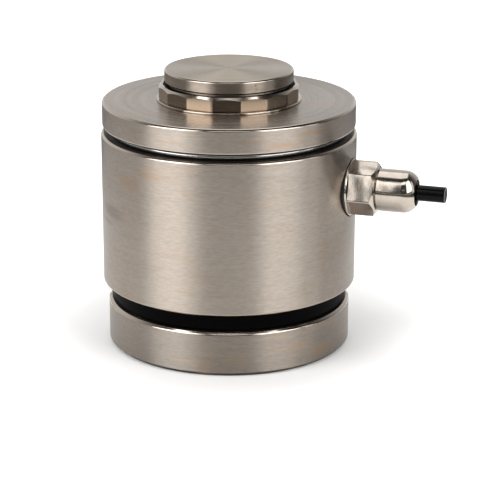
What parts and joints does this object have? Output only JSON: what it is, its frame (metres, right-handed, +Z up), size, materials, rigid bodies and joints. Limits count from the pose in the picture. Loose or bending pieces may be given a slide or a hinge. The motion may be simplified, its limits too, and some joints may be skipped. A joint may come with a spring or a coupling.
{
  "type": "strain gauge load cell",
  "caption": "Round canister compression load cell with a base plate, sealed housing, cover, faceted lock nut, loading button and a side cable gland.",
  "frame": {"origin": "centre of the base plate underside, on the mouth of its tapped hole", "axes": "+Z up along the loading axis, +X along the cable gland, from the axis out"},
  "size_m": [0.1232, 0.09, 0.0985],
  "materials": {
    "housing_steel": "fine circumferential brushing",
    "turned_steel": "fine turned",
    "column_steel": "machined",
    "screw_steel": "satin",
    "gland_metal": "polished",
    "seal_rubber": "satin",
    "jacket": "satin",
    "filler": "matte",
    "screen_braid": "braided",
    "core_red": "gloss",
    "core_black": "gloss",
    "core_green": "gloss",
    "core_white": "gloss",
    "board": "gloss",
    "pillar_brass": "satin",
    "resistor": "gloss",
    "gauge_foil": "gloss",
    "lead_copper": "satin"
  },
  "bodies": {
    "root": {"housing": "housing_steel", "base_plate": "housing_steel", "cover_plate": "turned_steel", "load_button": "turned_steel", "nut_washer": "turned_steel", "lock_nut": "turned_steel", "sensing_column": "column_steel", "clamp_ring": "column_steel", "diaphragm": "column_steel", "base_screws": "screw_steel", "board_screws": "screw_steel", "gland_body": "gland_metal", "gland_cap": "gland_metal", "slip_washer": "gland_metal", "foot_seal": "seal_rubber", "cover_ring": "seal_rubber", "button_ring": "seal_rubber", "gland_gasket": "seal_rubber", "grommet": "seal_rubber", "cable_jacket": "jacket", "cable_filler": "filler", "cable_screen": "screen_braid", "core_red": "core_red", "core_black": "core_black", "core_green": "core_green", "core_white": "core_white", "wiring_board": "board", "board_pillars": "pillar_brass", "solder_pins": "pillar_brass", "trim_resistors": "resistor", "axial_gauge_1": "gauge_foil", "axial_gauge_2": "gauge_foil", "axial_gauge_3": "gauge_foil", "axial_gauge_4": "gauge_foil", "cross_gauge_1": "gauge_foil", "cross_gauge_2": "gauge_foil", "cross_gauge_3": "gauge_foil", "cross_gauge_4": "gauge_foil", "gauge_lead_1": "lead_copper", "gauge_lead_2": "lead_copper", "gauge_lead_3": "lead_copper", "gauge_lead_4": "lead_copper"}
  },
  "joints": []
}
